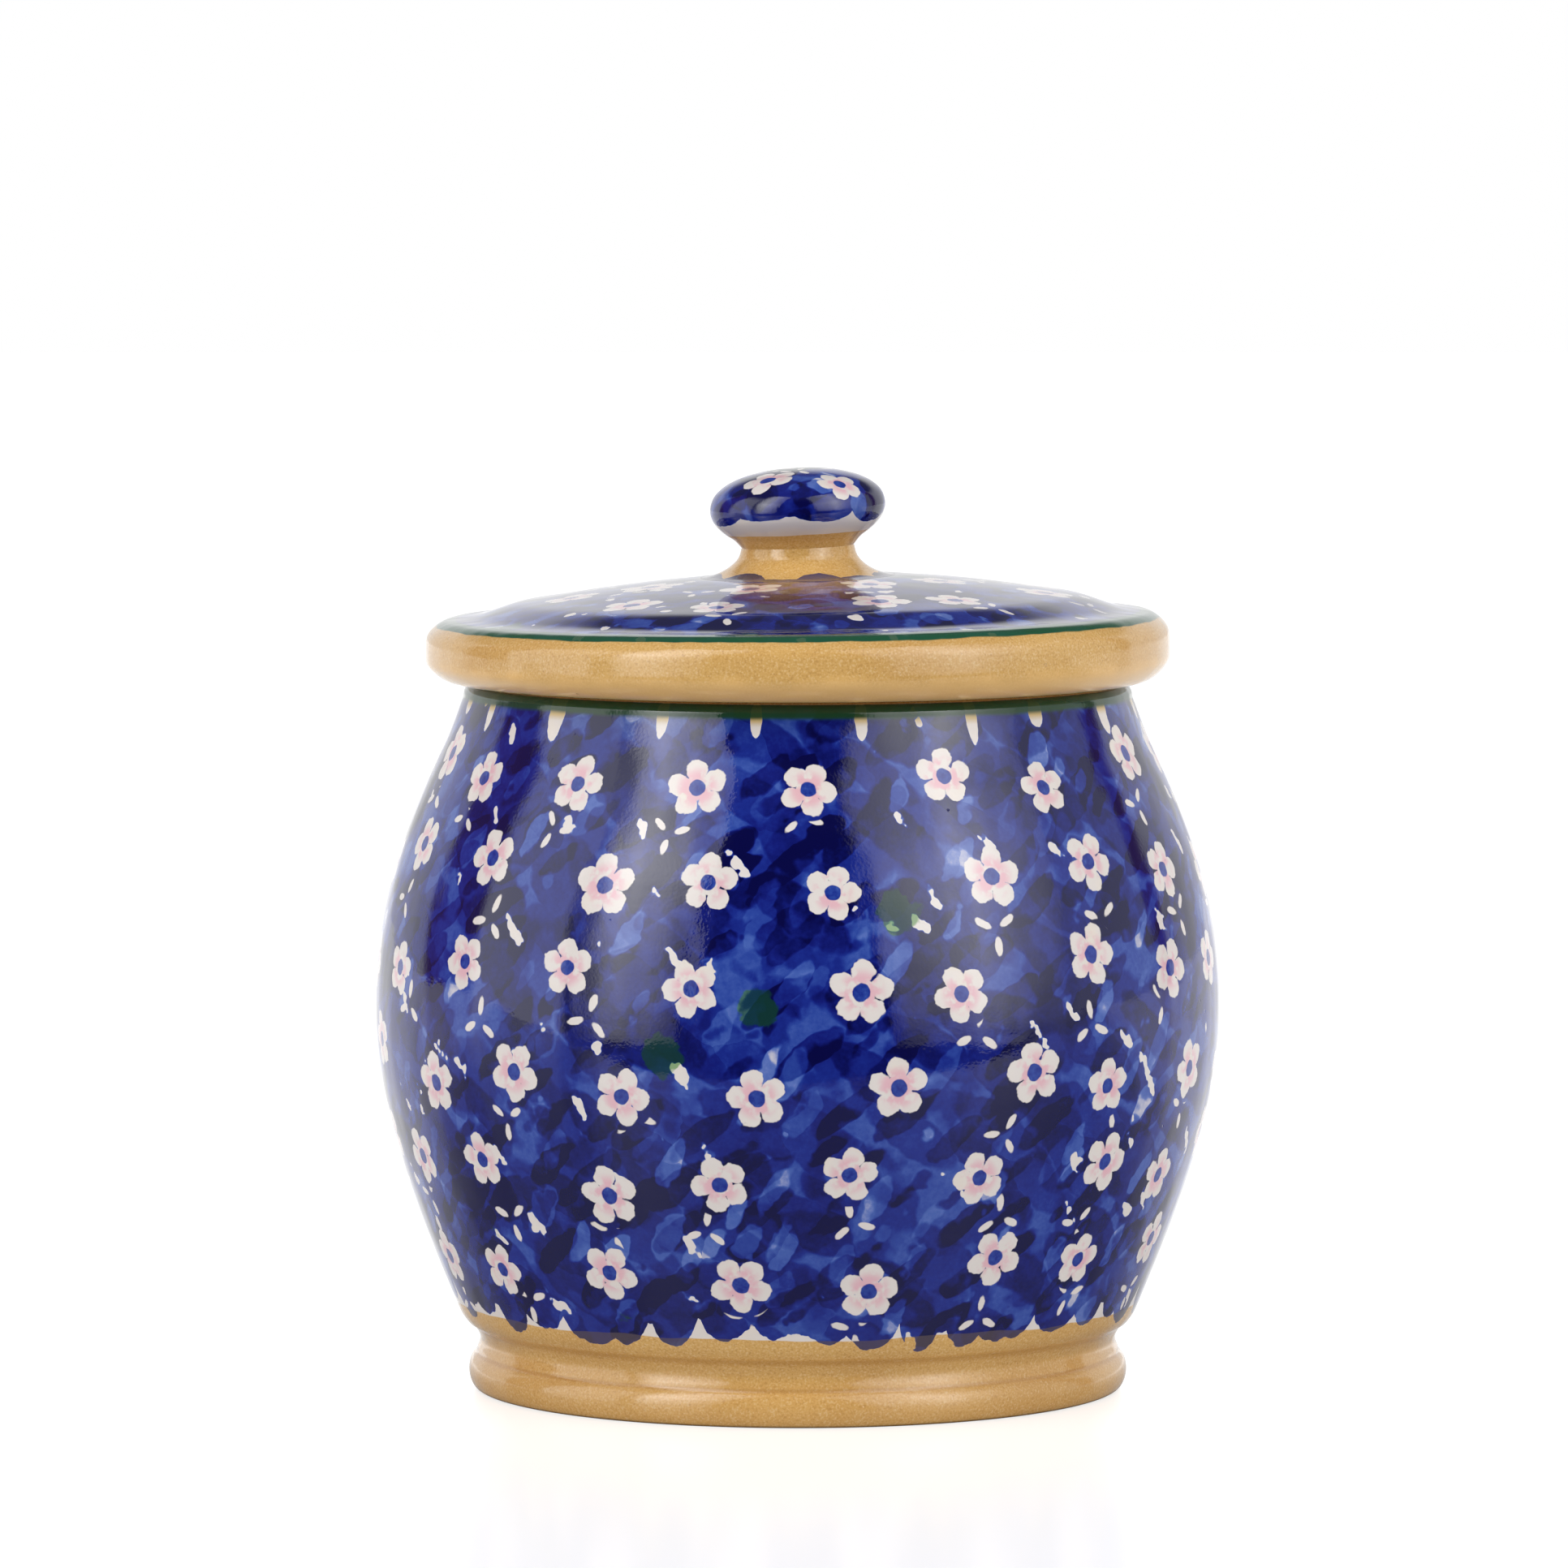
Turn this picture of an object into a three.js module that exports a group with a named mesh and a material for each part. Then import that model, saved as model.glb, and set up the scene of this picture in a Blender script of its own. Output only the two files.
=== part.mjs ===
// Lidded storage jar of glazed earthenware, in millimetres, with +Z up.
// The jar stands on z = 0, and every piece is turned about the Z axis.
import * as THREE from "three";

// Foot of the jar
const FOOT_RADIUS = 64.4; // widest line of the foot ring
const FOOT_WIDEST_HEIGHT = 3.6; // that line above the table
const FOOT_EDGE = 1.9; // how far the lower edge is turned in from the widest line
const FOOT_CONTACT_WIDTH = 6; // flat ring that stands on the table
const FOOT_RECESS = 2.5; // underside of the floor above the table
const GROOVE_HEIGHT = 9.8; // deepest line of the groove above the table
const GROOVE_DEPTH = 2.2; // groove inside the foot's widest line

// Side of the jar
const WAIST_RISE = 5.7; // from the groove up to where the side starts
const WAIST_OVERHANG = 1.85; // start of the side outside the foot's widest line
const WAIST_SLOPE = 0.43; // outward run per unit of rise where the side starts
const BELLY_RADIUS = 82.5;
const BELLY_HEIGHT = 75;
const NECK_SLOPE = 0.27; // inward run per unit of rise where the side ends
const WALL_THICKNESS = 6;
const FLOOR_THICKNESS = 7;
const FLOOR_CORNER_RADIUS = 9; // inside, between the floor and the wall

// Mouth of the jar
const SEAT_HEIGHT = 138.4; // flat top of the lip, which carries the lid
const MOUTH_RADIUS = 59;
const MOUTH_DEPTH = 5.4; // straight part of the mouth below the seat
const LIP_THICKNESS = 6.4;
const LIP_OUTER_ROUND = 3.2;
const LIP_INNER_ROUND = 1.4;

// Lid
const FLANGE_CLEARANCE = 1; // between the flange and the mouth
const FLANGE_DEPTH = 9;
const FLANGE_THICKNESS = 4.5;
const FLANGE_ROUND = 1.6;
const RIM_OVERHANG = 7.2; // widest line of the rim outside the lip
const RIM_HEIGHT = 12.8; // from the seat to the top of the rim
const RIM_WIDEST_HEIGHT = 6.8; // widest line of the rim above the seat
const RIM_UNDER_ROUND = 5.6; // width of the rounding below the widest line
const RIM_TOP_ROUND = 5.2; // width of the rounding above the widest line
const RING_WIDTH = 4; // nearly flat ring between the rim and the step
const RING_RISE = 0.6; // of that ring towards the step
const STEP_HEIGHT = 2.2;
const STEP_RUN = 8;
const STEP_ROUND = 40; // radius at both ends of the step
const DOME_RISE = 5.2; // crown of the dome above its edge
const LID_THICKNESS = 6;
const LID_CORNER_RADIUS = 6; // inside, between the dome and the flange

// Knob
const KNOB_FOOT_RADIUS = 19;
const KNOB_FOOT_EDGE = 0.15; // thin edge where the foot runs out onto the lid
const KNOB_NECK_RADIUS = 11;
const KNOB_NECK_HEIGHT = 5.9; // narrowest line above the knob's foot
const KNOB_RADIUS = 17.1;
const KNOB_WIDEST_HEIGHT = 13.7; // widest line above the knob's foot
const KNOB_HEIGHT = 21.2;

// Share of a curve's own height or width over which it keeps the direction of its end
const SIDE_FULLNESS = { waist: 0.584, belowBelly: 0.206, aboveBelly: 0.497, neck: 0.195 };
const FOOT_FULLNESS = { widest: 0.45, aboveFoot: 0.39, belowWaist: 0.21, waist: 0.39 };
const KNOB_FULLNESS = { foot: 0.44, neck: 0.53, underHead: 0.2, underWidest: 0.6, side: 0.56, crown: 0.63 };

// Facets
const BODY_FACETS = 56; // round the jar and the lid
const KNOB_FACETS = 40;
const SIDE_STEPS = 8;
const CURVE_STEPS = 5;
const CORNER_STEPS = 4;
const SAME_POINT = 0.001; // points of an outline closer than this are one point

const point = (radius, height) => new THREE.Vector2(radius, height);

// A cubic curve that leaves its start and reaches its end along the given handles.
function curve(start, leave, arrive, end, steps) {
  const leaving = start.clone().add(leave);
  const arriving = end.clone().sub(arrive);
  return new THREE.CubicBezierCurve(start, leaving, arriving, end).getSpacedPoints(steps);
}

// A quarter of an ellipse about a centre, counted counterclockwise from the given quarter turn.
function quarter(center, halfWidth, halfHeight, turn, steps) {
  const from = (turn * Math.PI) / 2;
  const to = from + Math.PI / 2;
  return new THREE.EllipseCurve(center.x, center.y, halfWidth, halfHeight, from, to).getPoints(steps);
}

// A corner between two straight stretches, rounded as far as half of the shorter one allows.
function rounded(before, corner, after, radius) {
  const back = before.clone().sub(corner);
  const ahead = after.clone().sub(corner);
  const room = Math.min(back.length(), ahead.length()) / 2;
  const setback = Math.min(radius / Math.tan(back.angleTo(ahead) / 2), room);
  const start = corner.clone().add(back.setLength(setback));
  const end = corner.clone().add(ahead.setLength(setback));
  return new THREE.QuadraticBezierCurve(start, corner, end).getPoints(CORNER_STEPS);
}

// The side of the jar from its waist over its belly to its neck, inside and outside alike.
function side(waist, belly, neck) {
  const lower = belly.y - waist.y;
  const upper = neck.y - belly.y;
  const fromWaist = point(WAIST_SLOPE, 1).setLength(SIDE_FULLNESS.waist * lower);
  const toBelly = point(0, SIDE_FULLNESS.belowBelly * lower);
  const fromBelly = point(0, SIDE_FULLNESS.aboveBelly * upper);
  const toNeck = point(-NECK_SLOPE, 1).setLength(SIDE_FULLNESS.neck * upper);
  return [
    ...curve(waist, fromWaist, toBelly, belly, SIDE_STEPS),
    ...curve(belly, fromBelly, toNeck, neck, SIDE_STEPS),
  ];
}

// Radius of a rising row of points at a height, with its first stretch drawn out below it.
function radiusAt(points, height) {
  const found = points.findIndex((next, index) => index > 0 && next.y > height);
  const [low, high] = [points[found - 1], points[found]];
  return low.x + ((high.x - low.x) * (height - low.y)) / (high.y - low.y);
}

// The foot ring, from the middle of the underside to the waist.
function footOutline(waist) {
  const contactOuter = FOOT_RADIUS - FOOT_EDGE;
  const contactInner = contactOuter - FOOT_CONTACT_WIDTH;
  const middle = point(0, FOOT_RECESS);
  const recessEdge = point(contactInner - FOOT_RECESS, FOOT_RECESS);
  const widest = point(FOOT_RADIUS, FOOT_WIDEST_HEIGHT);
  const groove = point(FOOT_RADIUS - GROOVE_DEPTH, GROOVE_HEIGHT);
  const footRise = groove.y - widest.y;
  const alongWaist = point(WAIST_SLOPE, 1).setLength(FOOT_FULLNESS.waist * WAIST_RISE);
  return [
    middle,
    ...rounded(middle, recessEdge, point(contactInner, 0), FOOT_RECESS),
    point(contactInner, 0),
    ...quarter(point(contactOuter, widest.y), FOOT_EDGE, widest.y, 3, CURVE_STEPS),
    ...curve(
      widest,
      point(0, FOOT_FULLNESS.widest * footRise),
      point(0, FOOT_FULLNESS.aboveFoot * footRise),
      groove,
      CURVE_STEPS,
    ),
    ...curve(groove, point(0, FOOT_FULLNESS.belowWaist * WAIST_RISE), alongWaist, waist, CURVE_STEPS),
  ];
}

// The jar, from the middle of its underside round its outside, over the lip and down to the floor.
function jarOutline() {
  const waist = point(FOOT_RADIUS + WAIST_OVERHANG, GROOVE_HEIGHT + WAIST_RISE);
  const belly = point(BELLY_RADIUS, BELLY_HEIGHT);
  const outerRound = Math.min(LIP_OUTER_ROUND, LIP_THICKNESS / 2);
  const innerRound = Math.min(LIP_INNER_ROUND, LIP_THICKNESS / 4);
  const neck = point(MOUTH_RADIUS + LIP_THICKNESS, SEAT_HEIGHT - outerRound);
  const lipOuter = point(neck.x - outerRound, neck.y);
  const lipInner = point(MOUTH_RADIUS + innerRound, SEAT_HEIGHT - innerRound);

  const inwards = point(-1, WAIST_SLOPE).setLength(WALL_THICKNESS);
  const inside = side(
    waist.clone().add(inwards),
    point(belly.x - WALL_THICKNESS, belly.y),
    point(MOUTH_RADIUS, SEAT_HEIGHT - MOUTH_DEPTH),
  );
  const floorHeight = FOOT_RECESS + FLOOR_THICKNESS;
  const floorCorner = point(radiusAt(inside, floorHeight), floorHeight);
  const wall = inside.filter((next) => next.y > floorHeight + FLOOR_CORNER_RADIUS).reverse();
  const floorMiddle = point(0, floorHeight);

  return [
    ...footOutline(waist),
    ...side(waist, belly, neck),
    ...quarter(lipOuter, outerRound, outerRound, 0, CORNER_STEPS),
    ...quarter(lipInner, innerRound, innerRound, 1, CORNER_STEPS),
    ...wall,
    ...rounded(wall.at(-1), floorCorner, floorMiddle, FLOOR_CORNER_RADIUS),
    floorMiddle,
  ];
}

// Sizes of the lid that its outline and the knob share, measured from the seat.
const rimRadius = MOUTH_RADIUS + LIP_THICKNESS + RIM_OVERHANG;
const ringRadius = rimRadius - RIM_TOP_ROUND;
const domeEdge = point(ringRadius - RING_WIDTH - STEP_RUN, RIM_HEIGHT + RING_RISE + STEP_HEIGHT);
const domeRadius = (domeEdge.x ** 2 + DOME_RISE ** 2) / (2 * DOME_RISE);
const domeCenterHeight = domeEdge.y + DOME_RISE - domeRadius;
const domeHeightAt = (radius, inset) => {
  return domeCenterHeight + Math.sqrt((domeRadius - inset) ** 2 - radius ** 2);
};
const knobSeatHeight = domeHeightAt(KNOB_FOOT_RADIUS, 0);

// The dome between two radii, or the parallel face that lies the given inset below it.
function dome(fromRadius, toRadius, inset) {
  return Array.from({ length: CURVE_STEPS + 1 }, (_, step) => {
    const radius = fromRadius + ((toRadius - fromRadius) * step) / CURVE_STEPS;
    return point(radius, domeHeightAt(radius, inset));
  });
}

// The lid, from the middle of its underside round the flange and the rim to the knob's seat.
function lidOutline() {
  const flangeOuter = MOUTH_RADIUS - FLANGE_CLEARANCE;
  const flangeInner = flangeOuter - FLANGE_THICKNESS;
  const flangeTop = point(flangeInner, domeHeightAt(flangeInner, LID_THICKNESS));
  const innerFoot = point(flangeInner, -FLANGE_DEPTH);
  const outerFoot = point(flangeOuter, -FLANGE_DEPTH);
  const seatInner = point(flangeOuter, 0);
  const hollow = dome(0, flangeInner - LID_CORNER_RADIUS, LID_THICKNESS);
  const stepFoot = point(ringRadius - RING_WIDTH, RIM_HEIGHT + RING_RISE);
  const ringOuter = point(ringRadius, RIM_HEIGHT);
  const crown = dome(domeEdge.x, KNOB_FOOT_RADIUS, 0);
  return [
    ...hollow,
    ...rounded(hollow.at(-1), flangeTop, innerFoot, LID_CORNER_RADIUS),
    ...rounded(flangeTop, innerFoot, outerFoot, FLANGE_ROUND),
    ...rounded(innerFoot, outerFoot, seatInner, FLANGE_ROUND),
    seatInner,
    ...quarter(
      point(rimRadius - RIM_UNDER_ROUND, RIM_WIDEST_HEIGHT),
      RIM_UNDER_ROUND,
      RIM_WIDEST_HEIGHT,
      3,
      CURVE_STEPS,
    ),
    ...quarter(
      point(ringRadius, RIM_WIDEST_HEIGHT),
      RIM_TOP_ROUND,
      RIM_HEIGHT - RIM_WIDEST_HEIGHT,
      0,
      CURVE_STEPS,
    ),
    ...rounded(ringOuter, stepFoot, domeEdge, STEP_ROUND),
    ...rounded(stepFoot, domeEdge, crown[1], STEP_ROUND),
    ...crown.slice(1),
    point(0, knobSeatHeight),
  ];
}

// The knob, from the middle of its foot over its neck to its crown.
function knobOutline() {
  const footEdge = point(KNOB_FOOT_RADIUS, KNOB_FOOT_EDGE);
  const neck = point(KNOB_NECK_RADIUS, KNOB_NECK_HEIGHT);
  const widest = point(KNOB_RADIUS, KNOB_WIDEST_HEIGHT);
  const crown = point(0, KNOB_HEIGHT);
  const flareRun = footEdge.x - neck.x;
  const flareRise = neck.y - footEdge.y;
  const headRise = widest.y - neck.y;
  const crownRise = crown.y - widest.y;
  return [
    point(0, 0),
    point(KNOB_FOOT_RADIUS, 0),
    ...curve(
      footEdge,
      point(-KNOB_FULLNESS.foot * flareRun, 0),
      point(0, KNOB_FULLNESS.neck * flareRise),
      neck,
      CURVE_STEPS,
    ),
    ...curve(
      neck,
      point(0, KNOB_FULLNESS.underHead * headRise),
      point(0, KNOB_FULLNESS.underWidest * headRise),
      widest,
      CURVE_STEPS,
    ),
    ...curve(
      widest,
      point(0, KNOB_FULLNESS.side * crownRise),
      point(-KNOB_FULLNESS.crown * KNOB_RADIUS, 0),
      crown,
      SIDE_STEPS,
    ),
  ];
}

// Turns an outline about the Z axis into a named solid.
function turned(name, outline, facets, material) {
  const distinct = outline.filter((next, index) => {
    return index === 0 || next.distanceTo(outline[index - 1]) > SAME_POINT;
  });
  const geometry = new THREE.LatheGeometry(distinct, facets);
  geometry.rotateX(Math.PI / 2);
  const mesh = new THREE.Mesh(geometry, material);
  mesh.name = name;
  return mesh;
}

// Glazes: cobalt over cream slip on the jar and the knob, more of the bare buff clay on the lid
const jarGlaze = new THREE.MeshStandardMaterial({ color: 0x5a6aa6, roughness: 0.2, metalness: 0 });
const lidGlaze = new THREE.MeshStandardMaterial({ color: 0xa4926f, roughness: 0.22, metalness: 0 });
const knobGlaze = new THREE.MeshStandardMaterial({ color: 0x4c5c9c, roughness: 0.2, metalness: 0 });

const knob = turned("lid_knob", knobOutline(), KNOB_FACETS, knobGlaze);
knob.position.z = knobSeatHeight;

const lid = new THREE.Group();
lid.position.z = SEAT_HEIGHT;
lid.add(turned("lid", lidOutline(), BODY_FACETS, lidGlaze), knob);

const group = new THREE.Group();
group.add(turned("jar_body", jarOutline(), BODY_FACETS, jarGlaze), lid);

export default group;
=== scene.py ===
# A lidded earthenware jar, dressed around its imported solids.
# Every piece is turned again from the section of the solid that it replaces, with a finer hand-thrown
# surface and a glaze of its own. Lengths are in millimetres until a mesh, a lamp or the camera is made.
import math

import bpy
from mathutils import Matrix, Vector, noise


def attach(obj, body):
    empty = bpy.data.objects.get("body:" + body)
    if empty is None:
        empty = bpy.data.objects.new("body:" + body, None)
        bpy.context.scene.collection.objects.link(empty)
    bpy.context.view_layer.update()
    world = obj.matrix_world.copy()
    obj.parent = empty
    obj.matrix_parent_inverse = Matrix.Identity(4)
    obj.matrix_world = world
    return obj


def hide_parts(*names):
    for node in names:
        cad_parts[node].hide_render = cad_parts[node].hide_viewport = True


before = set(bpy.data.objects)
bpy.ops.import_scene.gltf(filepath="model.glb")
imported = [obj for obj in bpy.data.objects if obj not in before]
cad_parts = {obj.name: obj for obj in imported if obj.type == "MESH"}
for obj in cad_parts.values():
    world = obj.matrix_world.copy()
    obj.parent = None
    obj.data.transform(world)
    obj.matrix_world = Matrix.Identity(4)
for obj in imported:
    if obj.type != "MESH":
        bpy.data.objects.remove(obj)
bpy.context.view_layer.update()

MM = 0.001

# The photograph's camera
IMAGE_PIXELS = 1932
AXIS_COLUMN = 983  # pixel column of the jar's axis
FOCAL_PIXELS = 12397
CAMERA_DISTANCE = 1959
CAMERA_HEIGHT = 268
CAMERA_PITCH = 4.38  # degrees down
SENSOR_WIDTH = 36

# Meshes
TOUCH = 1e-6  # lengths below this count as zero
CORNER_TURN = math.radians(38)  # sharper turns of a section stay corners
JAR_FACETS = 240
LID_FACETS = 256
KNOB_FACETS = 128
JAR_STEP = 1.8  # between the rings of a mesh
LID_STEP = 1.2
KNOB_STEP = 0.6
LEAST_RINGS = 3  # between two neighbouring points of a section
LIP_DEPTH = 0.05  # below the jar's top, where the lip starts

# Unevenness of thrown clay, in slow waves and in ripples: size, depth and place in the noise
THROWN = ((48, 0.22, Vector((3.1, 7.7, 1.3))), (13, 0.035, Vector((9.4, 2.2, 5.8))))
JAR_THROWN_FROM = (12, 30)  # heights between which it sets in on the jar
JAR_THROWN_TO = (4, 16)  # and depths below the top where it ends
LID_THROWN_FROM = 5  # below the widest line of the lid's rim, where it sets in
LID_THROWN_TO = (0.5, 3)
LID_THROWN_OUT = 0.4  # shares of it that push the lid outwards and up
LID_THROWN_UP = 0.6

# Leans of the lid, which was not thrown quite level, and of the knob, which was set on it askew
RIM_LEAN = math.radians(0.55)
DOME_LEAN = math.radians(1.15)
KNOB_LEAN = math.radians(2.65)
LEAN_BELOW_SEAT = 2  # where the rim's lean starts
LEAN_BELOW_TOP = 1  # where the dome's lean is full
KNOB_LEAN_FROM = (1, 9)  # heights above the knob's foot where its lean starts and is full
KNOB_SKIRT = 3  # width of the ring round the knob's foot whose edge sinks onto the lid

# Soft valley and swell round the lid's dome: distance in from the rim's widest line, rise and reach
LID_WAVES = ((9.8, -0.22, 3.4), (18.4, 0.22, 4.2))
LID_WAVES_FROM = 5  # they set in over this height above that line
# The lid's rim is fuller than a round on both sides of its widest line: height from it, push and reach
RIM_SIDES = ((2.9, 0.3, 1.6), (-3.0, 0.4, 1.7))
RIM_DEPTH = (2.5, 5.0)  # that push fades out inwards of the widest line
# Lines cut above and below the groove over the foot: height from its narrowest line, depth, and how far
# the cut runs out below and above
FOOT_LINES = ((-2.3, 0.3, 0.7, 0.5), (3.2, 0.44, 1.8, 0.4))

# Edges between colours
CRISP = 0.12  # half the width of a crisp edge
CUT = 0.01  # width of an edge where something ends at once

# Where the finishes change, measured from features of the sections
JAR_UNEVEN = 16  # size of the noise by which the edges wander
LID_UNEVEN = 9
KNOB_UNEVEN = 7
SLIP_ABOVE_GROOVE = 8.0  # lower edge of the slip on the jar
SLIP_WANDER = 2.4
FOOT_SHADE = (3, -2, 0.15)  # painted shade that darkens the foot: heights from the groove where it starts and is full, share
LINE_SHADE = (0.1, 0.3)  # painted shade in the lines cut on it: half the width of their core, share
CONTACT_SHADOW_FADE = (0.6, 0.2, 0.6)  # painted contact shadow on the edge that the jar stands on: heights from the floor, share
LIP_CLAY = 1.7  # bare clay below the jar's lip
LIP_EDGE = 0.2
SLIP_INSIDE = (4.0, 4.6)  # from the lip inwards, where the slip inside the jar starts
NECK_BAND_WIDTH = 3.2  # from the lip down to the lower edge of the green band
BAND_WANDER = 0.6
BAND_EDGE = 0.5
BAND_SHARE = 0.97
STAIN_BELOW_BAND = (1.8, 0.2)  # where the band stains bare slip
STAIN_DEPTH = 0.2  # depth of cobalt that hides the stain
STAIN_SHARE = 0.8
NECK_GAPS = 21  # upright gaps between the dabs below that band
GAP_STRAY = 0.5  # share of their spacing by which they stray
GAP_HALF = (1.1, 1.0)  # half width: least, and how much more
GAP_LENGTH = (2.5, 3.5)
GAP_RAGGED = (2.4, 0.8)  # ragged edge: size and depth
GAP_EDGE = (1.1, 0.9)
GAP_SEED = 7.0
LID_LINE_INSET = 2.1  # green line on the lid, from the rim's widest line inwards
LID_LINE_WIDTH = 3.6
LID_LINE_EDGE = 0.2
LID_LINE_SHARE = 0.95
LID_SLIP_EDGE = 0.5
PAINTED_LIGHT_BELOW_RIM = (1.0, 4.5)  # below the rim's widest line, where painted light from the floor sets in
PAINTED_LIGHT_WANDER = 3.0
PAINTED_LIGHT_SHARE = 0.8
LID_CALM = (6, 0.3)  # the lid's relief falls over this length inwards of the line, to this share
CLAY_ROUND_KNOB = 0.4  # bare clay on the lid outside the knob's foot
KNOB_RING_WANDER = 2.2
KNOB_RING_EDGE = 0.15
KNOB_SLIP_INSET = 3.0  # under the knob's head, from its widest line inwards to the slip's edge
KNOB_SLIP_WANDER = 0.8
CROWN_DAB = 6.0  # radius of the dark dab on the knob's crown
CROWN_WANDER = 9
CROWN_EDGE = 0.6
CROWN_SHARE = 0.75

# Clay and slip
CLAY_SHADE = (24, 0.4, 0.06)  # slow change of shade: size, swing and mean share of dark clay
SAND = (0.42, 0.32)  # size and strength
SAND_DARK = (0.5, 0.75)  # levels of its noise that darken and that pale the clay
SAND_PALE = (0.5, 0.25)
GRAINS = (0.95, 0.3)  # dark grains: size of their cells and strength
GRAIN_EDGE = (0.26, 0.12)  # in cells
GRAIN_CHANCE = (0.6, 0.75)
THIN_SLIP = (7, 0.2)  # warm places where the slip is thin: size and strength
THIN_LEVEL = (0.5, 0.8)

# Round-ended dabs that hang over an edge: their numbers in two overlapping rows round the piece, their
# least and greatest length, and their seed
FRINGE_ABOVE_SLIP = 6.8  # where the jar's dabs hang from
JAR_FRINGE = ((43, 31), 3.0, 9.8, 60)
KNOB_FRINGE = ((8, 5), 0.0, 3.7, 70)  # from the head's widest line down
FLARE_FRINGE = ((13, 9), 2.0, 5.0, 80)  # from the edge of the knob's foot up
FRINGE_DRIFT = (22, 0.8)  # drift round the piece: its size, and how far in dabs
FRINGE_RAGGED = (2.4, 0.2)  # ragged edge: size, and depth as a share of the greatest length

# Sponged ground: a thin wash, and over it two layers of dabs: cell size, stretch up the wall, slant of the
# strokes in radians per millimetre, radius in cells, softness of the edge in cells, and depth
WASH = 0.5
DABS = (
    (11.0, 1.25, 0.012, 0.6, 0.045, 0.75),
    (8.0, 1.4, -0.012, 0.46, 0.035, 0.85),
)
DAB_WARPS = ((8.0, 2.0, 5), (2.4, 0.8, 6))  # pushes that make it ragged: size, reach and seed
DAB_SHADE = (0.6, 0.7, 0.3)  # depth of a dab: least, how much more, and where it runs thin
DAB_RIM = (0.1, 0.1)  # pooled rim of a dab: width in cells and depth
BLOTCH_SIZE = 10.0  # soft dark places
BLOTCH_LEVEL = (0.47, 0.57)
BLOTCH_DEPTH = (0.6, 1.1)  # depth that they add, and by how much they deepen the second layer
STROKES = (7.0, 2.2, -0.006, 0.34)  # pale strokes: cell size, stretch, slant and radius in cells
STROKE_EDGE = 0.03
STROKE_LIFT = (0.25, 0.55)  # share that they lift: least, and how much more
SLITS = (8.5, 2.0, 0.008, 0.155)  # and bare ones
SLIT_EDGE = 0.02
SLIT_RAGGED = (2.0, 0.25)
PORES = (0.8, 0.5)  # pores of the sponge in the colour: size and strength
WATERY = (3.2, 0.5)  # and watery places
EVEN_SHARE = 0.5  # share of the colour that neither changes
DEEPEST = 2.55  # depth at the end of its colours
COBALT_COVERS = (0.04, 0.22)  # depths over which it hides what is under it
SMOKE_SHARE = 0.75  # how far it greys over bare clay
GREEN_CELL = 26  # cells, some of which hold a dab of green
GREEN_WARPS = ((3.5, 2.2, 13), (1.2, 0.7, 33))
GREEN_EDGE = (0.165, 0.14)
GREEN_CHANCE = (0.42, 0.44)
GREEN_DEPTH = (0.1, 0.8)  # depths of cobalt over which it darkens
GREEN_SHARE = 0.8

# Stamped pattern, strewn loosely: one blossom in each cell of the rows
JAR_ROWS = 6
JAR_COLUMNS = (17.0, 3.4)  # in a row at the ends of the jar, and how many more at its middle
ROW_ABOVE_SLIP = 3.5  # lowest row's cells, above the edge of the slip
ROW_BELOW_BAND = 2.5  # highest row's cells, below the green band
SIDE_STRAY = 9.0  # how far blossoms stray in a cell, from side to side and up and down
RISE_STRAY = 7.0
LID_PITCH = 21.8
LID_RINGS = ((47.5, 12, 50), (27.5, 7, 57))  # radius of the ring, blossoms in it and their seed
KNOB_PITCH = 13.5
KNOB_COLUMNS = 4
KNOB_SCALE = 0.8
KNOB_SEED = 110
ROW_TURN = 0.37  # share of a turn from one row to the next
PETALS = 5
BLOSSOM_SIZE = (0.92, 0.16)  # least, and how much larger some are
BLOSSOM_REACH = 3.6  # from a blossom's middle to the middle of a petal
BLOSSOM_HEART = 0.75  # share of that reach that is filled in the middle
PETAL_RADIUS = 2.15
EYE_RADIUS = 1.6
RAGGED_SIZE = 2.0  # ragged edges: size, and depths
PETAL_RAGGED = 1.4
FINE_RAGGED = 0.8  # eyes and sprigs
BLUSH_FADE = (4.8, 2.4)  # from a blossom's middle
BLUSH_SIZE = 2.2
BLUSH_LEVEL = (0.38, 0.58)
BLUSH_SHARE = 0.7
EYE_SHADE = (1.2, 0.5, 0.05)  # an eye's blue: size of its change, swing and least
CLEAR_OF_BLOSSOM = (6.6, 6.9)  # sprigs end at this distance from a blossom's middle
SPRIG_SEED = 40  # added to the blossoms' seed
SPRIG_CHANCE = (0.3, 0.32)
SPRIG_LEAVES = 3
SPRIG_REACH = 2.9  # from a sprig's middle to the middle of a leaf
SPRIG_HALF_LENGTH = 1.7
SPRIG_HALF_WIDTH = 0.75
SPRIG_EDGE = (1.1, 0.85)

# Relief and gloss of the glaze
WAVES = (9, 0.22, (1, 1, 0.4))  # upright waves: size, depth and squeeze
RINGS = (5, 0.08, (0.3, 0.3, 1))  # throwing rings
PEEL = (0.6, 0.012)  # orange peel
SANDY = (0.5, 0.005)  # sand under thin glaze
PINHOLES = (8, 0.12)  # size of their cells, and depth
PINHOLE_EDGE = (0.05, 0.02)
PINHOLE_CHANCE = (0.62, 0.64)
GLOSS = (3.0, 0.035, 0.03)  # roughness: size of its change, least, and how much more
SANDY_GLOSS = 0.005  # more where the glaze is thin

# Steps from one seed's part of a texture to the next one's
NOISE_STEPS = (37.0, 91.0, 53.0)
WARP_STEPS = (17.0, 29.0, 43.0)
CELL_STEPS = (61.0, 23.0, 79.0)


def tint(code):
    """Linear colour of an sRGB hex code."""
    channels = [int(code[i:i + 2], 16) / 255 for i in (0, 2, 4)]
    return (*[c / 12.92 if c <= 0.04045 else ((c + 0.055) / 1.055) ** 2.4 for c in channels], 1.0)


def grey(level):
    return (level, level, level, 1.0)


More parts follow.
